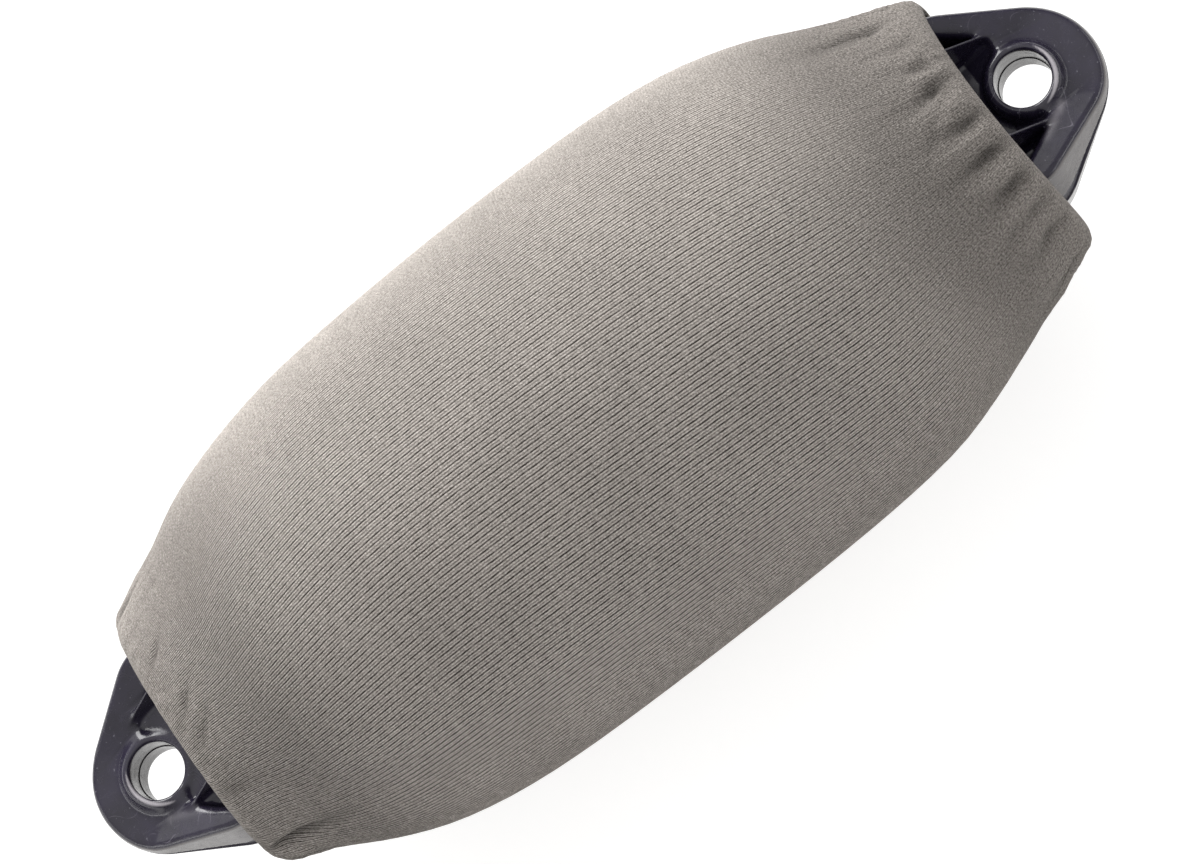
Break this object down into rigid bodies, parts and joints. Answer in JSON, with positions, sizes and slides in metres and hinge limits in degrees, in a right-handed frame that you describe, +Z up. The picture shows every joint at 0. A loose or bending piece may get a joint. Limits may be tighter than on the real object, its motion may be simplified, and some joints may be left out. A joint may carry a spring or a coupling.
{
  "type": "fender cover on a boat fender",
  "caption": "Knitted sleeve cover with turned hems, stretched over an inflatable cylindrical boat fender with a rope eye at each end.",
  "frame": {"origin": "on the surface, under the middle of the fender", "axes": "+X along the fender to its right eye, +Z up, square to the flat of the eyes"},
  "size_m": [0.76, 0.3024, 0.2986],
  "materials": {
    "cover_knit": "brushed rib knit, warm grey",
    "navy_vinyl": "moulded soft vinyl, glossy navy"
  },
  "bodies": {
    "root": {"cover": "cover_knit", "fender_body": "navy_vinyl", "eye_end_right": "navy_vinyl", "eye_end_left": "navy_vinyl"}
  },
  "joints": []
}
